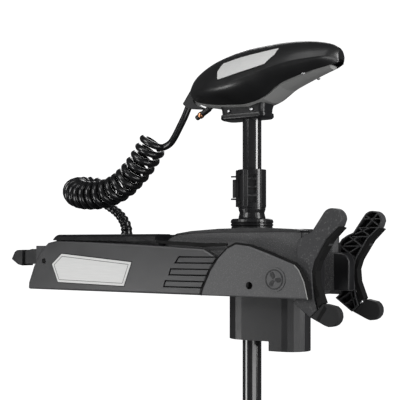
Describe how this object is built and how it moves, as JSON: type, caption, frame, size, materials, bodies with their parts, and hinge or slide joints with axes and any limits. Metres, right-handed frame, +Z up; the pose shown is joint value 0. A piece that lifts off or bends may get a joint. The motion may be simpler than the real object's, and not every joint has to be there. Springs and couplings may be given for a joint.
{
  "type": "trolling motor",
  "caption": "Electric-steer bow-mount trolling motor: flat deck mount with tilting steering housing, shaft with control head, depth collar and weedless propeller.",
  "frame": {"origin": "on the deck face, the flat underside of the mount, on the mount's middle line, 250 mm aft of the deployed shaft's axis", "axes": "+X towards the bow, +Z up along the deployed shaft, -Y the near side"},
  "size_m": [0.628, 0.215, 1.3817],
  "materials": {
    "channel": "satin dark grey paint",
    "casting": "speckled grey casting",
    "side_plates": "satin dark grey",
    "bow_covers": "fine-textured grey",
    "name_plates": "brushed silver",
    "top_rails": "glossy black",
    "top_caps": "satin black",
    "steel_parts": "machined steel",
    "ramps": "coarse textured dark grey",
    "ramp_pads": "matt black rubber",
    "ramp_tips": "dark grey rubber",
    "cradle": "black rubber",
    "cord": "glossy black jacket",
    "lever": "textured black",
    "housing": "satin black",
    "collar": "satin black",
    "gears": "white nylon",
    "shaft": "smooth black composite",
    "head_cover": "glossy black",
    "head_base": "satin grey",
    "head_neck": "satin black",
    "head_plate": "brushed silver",
    "board": "green laminate",
    "strain_relief": "matt dark grey",
    "sensor_plug": "black with a brass nut",
    "lower_unit": "black paint",
    "magnets": "dark ferrite",
    "armature": "copper windings",
    "propeller": "black composite"
  },
  "bodies": {
    "base": {"base_channel": "channel", "bow_casting": "casting", "side_plate_near": "side_plates", "side_plate_far": "side_plates", "bow_cover_near": "bow_covers", "bow_cover_far": "bow_covers", "name_plate_near": "name_plates", "name_plate_far": "name_plates", "top_rail_near": "top_rails", "top_rail_far": "top_rails", "top_cap_near": "top_caps", "top_cap_far": "top_caps", "pivot_pin_near": "steel_parts", "pivot_pin_far": "steel_parts", "ramp_near": "ramps", "ramp_far": "ramps", "ramp_pad_near": "ramp_pads", "ramp_pad_far": "ramp_pads", "ramp_tip_near": "ramp_tips", "ramp_tip_far": "ramp_tips", "shaft_cradle": "cradle", "lever_pin": "steel_parts", "cord_coil": "cord", "cord_boot": "cord"},
    "release_lever": {"release_lever": "lever"},
    "latch": {"latch_rod": "steel_parts"},
    "tilt_housing": {"steering_housing": "housing", "housing_lid": "housing", "lower_bearing": "steel_parts", "upper_bearing": "steel_parts", "bezel_ring": "collar", "steering_motor": "steel_parts"},
    "idler": {"idler_gear": "gears"},
    "pinion": {"motor_pinion": "steel_parts"},
    "output": {"output_tube": "collar", "steering_gear": "gears"},
    "collar": {"collar_body": "collar", "cam_pin": "steel_parts"},
    "cam": {"cam_lever": "collar"},
    "shaft": {"shaft_tube": "shaft", "head_cover": "head_cover", "head_base": "head_base", "head_neck": "head_neck", "head_plate": "head_plate", "control_board": "board", "strain_relief": "strain_relief", "sensor_plug": "sensor_plug", "motor_can": "lower_unit", "nose_cone": "lower_unit", "end_bell": "lower_unit", "magnet_ring": "magnets", "front_bearing": "steel_parts", "rear_bearing": "steel_parts", "skeg": "lower_unit", "cord_lead": "cord"},
    "propeller": {"armature": "armature", "prop_shaft": "steel_parts", "drive_pin": "steel_parts", "propeller": "propeller", "prop_nut": "steel_parts"}
  },
  "joints": [
    {"name": "tilt", "type": "hinge", "parent": "base", "child": "tilt_housing", "pos_m": [0.25, 0, 0.042], "axis": [0, -1, 0], "range_deg": [0, 90], "deforming": ["cord_coil", "cord_lead"]},
    {"name": "steer", "type": "hinge", "parent": "tilt_housing", "child": "output", "pos_m": [0.25, 0, 0.042], "axis": [0, 0, 1], "range_deg": [-180, 180]},
    {"name": "stow_lift", "type": "slide", "parent": "output", "child": "collar", "axis": [0, 0, 1], "range_m": [0, 0.42]},
    {"name": "depth_adjust", "type": "slide", "parent": "collar", "child": "shaft", "axis": [0, 0, 1], "range_m": [-0.07, 0.3]},
    {"name": "prop_spin", "type": "hinge", "parent": "shaft", "child": "propeller", "pos_m": [0.25, 0, -0.88], "axis": [1, 0, 0], "continuous": true},
    {"name": "idler_spin", "type": "hinge", "parent": "tilt_housing", "child": "idler", "pos_m": [0.293, 0, -0.042], "axis": [0, 0, 1], "range_deg": [-310, 310]},
    {"name": "pinion_spin", "type": "hinge", "parent": "tilt_housing", "child": "pinion", "pos_m": [0.319, 0, -0.042], "axis": [0, 0, 1], "range_deg": [-490, 490]},
    {"name": "cam_open", "type": "hinge", "parent": "collar", "child": "cam", "pos_m": [0.23331, -0.01632, 0.1585], "axis": [0, 0, 1], "range_deg": [0, 100]},
    {"name": "lever_press", "type": "hinge", "parent": "base", "child": "release_lever", "pos_m": [-0.0995, 0, 0.0468], "axis": [0, -1, 0], "range_deg": [0, 20], "stiffness_Nm_per_rad": 1.5, "springref_deg": -11.46},
    {"name": "latch_slide", "type": "slide", "parent": "base", "child": "latch", "axis": [1, 0, 0], "range_m": [0, 0.0096]}
  ],
  "couplings": [
    {"joint": "stow_lift", "follows": "tilt", "m_per_rad": 0.26738},
    {"joint": "idler_spin", "follows": "steer", "ratio": -1.6875},
    {"joint": "pinion_spin", "follows": "steer", "ratio": 2.7},
    {"joint": "latch_slide", "follows": "lever_press", "m_per_rad": 0.026}
  ]
}
